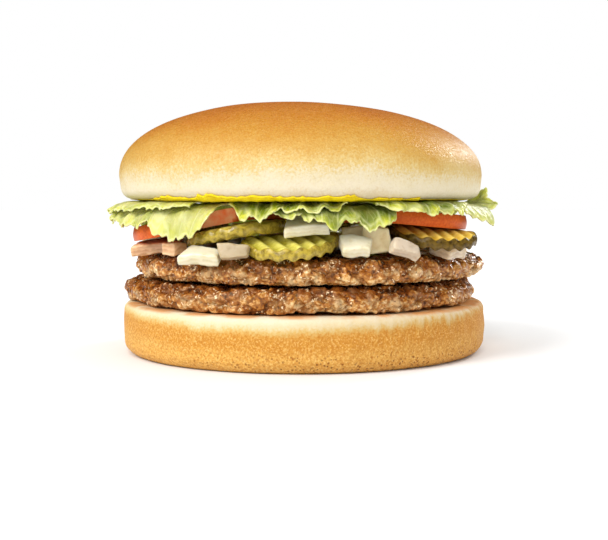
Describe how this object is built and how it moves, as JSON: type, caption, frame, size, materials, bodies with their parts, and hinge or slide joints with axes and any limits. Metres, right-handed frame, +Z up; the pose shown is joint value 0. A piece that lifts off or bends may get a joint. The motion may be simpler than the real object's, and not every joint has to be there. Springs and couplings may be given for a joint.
{
  "type": "double hamburger",
  "caption": "Round hamburger on a plain soft bun: seared beef patties, chopped onion, crinkle-cut pickles, tomato slices, frilly lettuce and mustard.",
  "frame": {"origin": "middle of the bun's flat underside, which is the lowest face and stands on the table", "axes": "+Z up through the layers, -Y towards the front seen in the picture, +X to the right of that view; the spread of the lettuce makes +X the longest extent"},
  "size_m": [0.1363, 0.1284, 0.0868],
  "materials": {
    "bun_crust": "soft baked crust, golden brown fading to cream, satin",
    "beef": "seared ground beef, coarse, with a greasy gleam",
    "onion": "raw chopped onion, translucent white, wet",
    "pickle": "crinkle-cut pickled cucumber, olive skin and yellow-green face, wet",
    "tomato": "tomato slice, red skin and paler flesh, wet",
    "lettuce": "lettuce leaf, pale green with near-white ribs and rims, satin",
    "mustard": "bright yellow mustard, smooth and moist"
  },
  "bodies": {
    "root": {"bun_bottom": "bun_crust", "bun_top": "bun_crust", "lettuce_back": "lettuce", "lettuce_back_left": "lettuce", "lettuce_back_right": "lettuce", "lettuce_front": "lettuce", "lettuce_front_low": "lettuce", "lettuce_front_right": "lettuce", "lettuce_left": "lettuce", "lettuce_left_fold": "lettuce", "lettuce_right": "lettuce", "mustard": "mustard", "onion_01": "onion", "onion_02": "onion", "onion_03": "onion", "onion_04": "onion", "onion_05": "onion", "onion_06": "onion", "onion_07": "onion", "onion_08": "onion", "onion_09": "onion", "onion_10": "onion", "onion_11": "onion", "onion_12": "onion", "onion_13": "onion", "onion_14": "onion", "onion_15": "onion", "onion_16": "onion", "onion_17": "onion", "onion_18": "onion", "onion_19": "onion", "onion_20": "onion", "onion_21": "onion", "onion_22": "onion", "onion_23": "onion", "onion_24": "onion", "onion_25": "onion", "onion_26": "onion", "onion_27": "onion", "onion_28": "onion", "onion_29": "onion", "onion_30": "onion", "onion_31": "onion", "onion_32": "onion", "onion_33": "onion", "onion_34": "onion", "onion_35": "onion", "patty_lower": "beef", "patty_upper": "beef", "pickle_back": "pickle", "pickle_far_left": "pickle", "pickle_front": "pickle", "pickle_left": "pickle", "pickle_right": "pickle", "pickle_side": "pickle", "tomato_back": "tomato", "tomato_left": "tomato", "tomato_right": "tomato"}
  },
  "joints": []
}
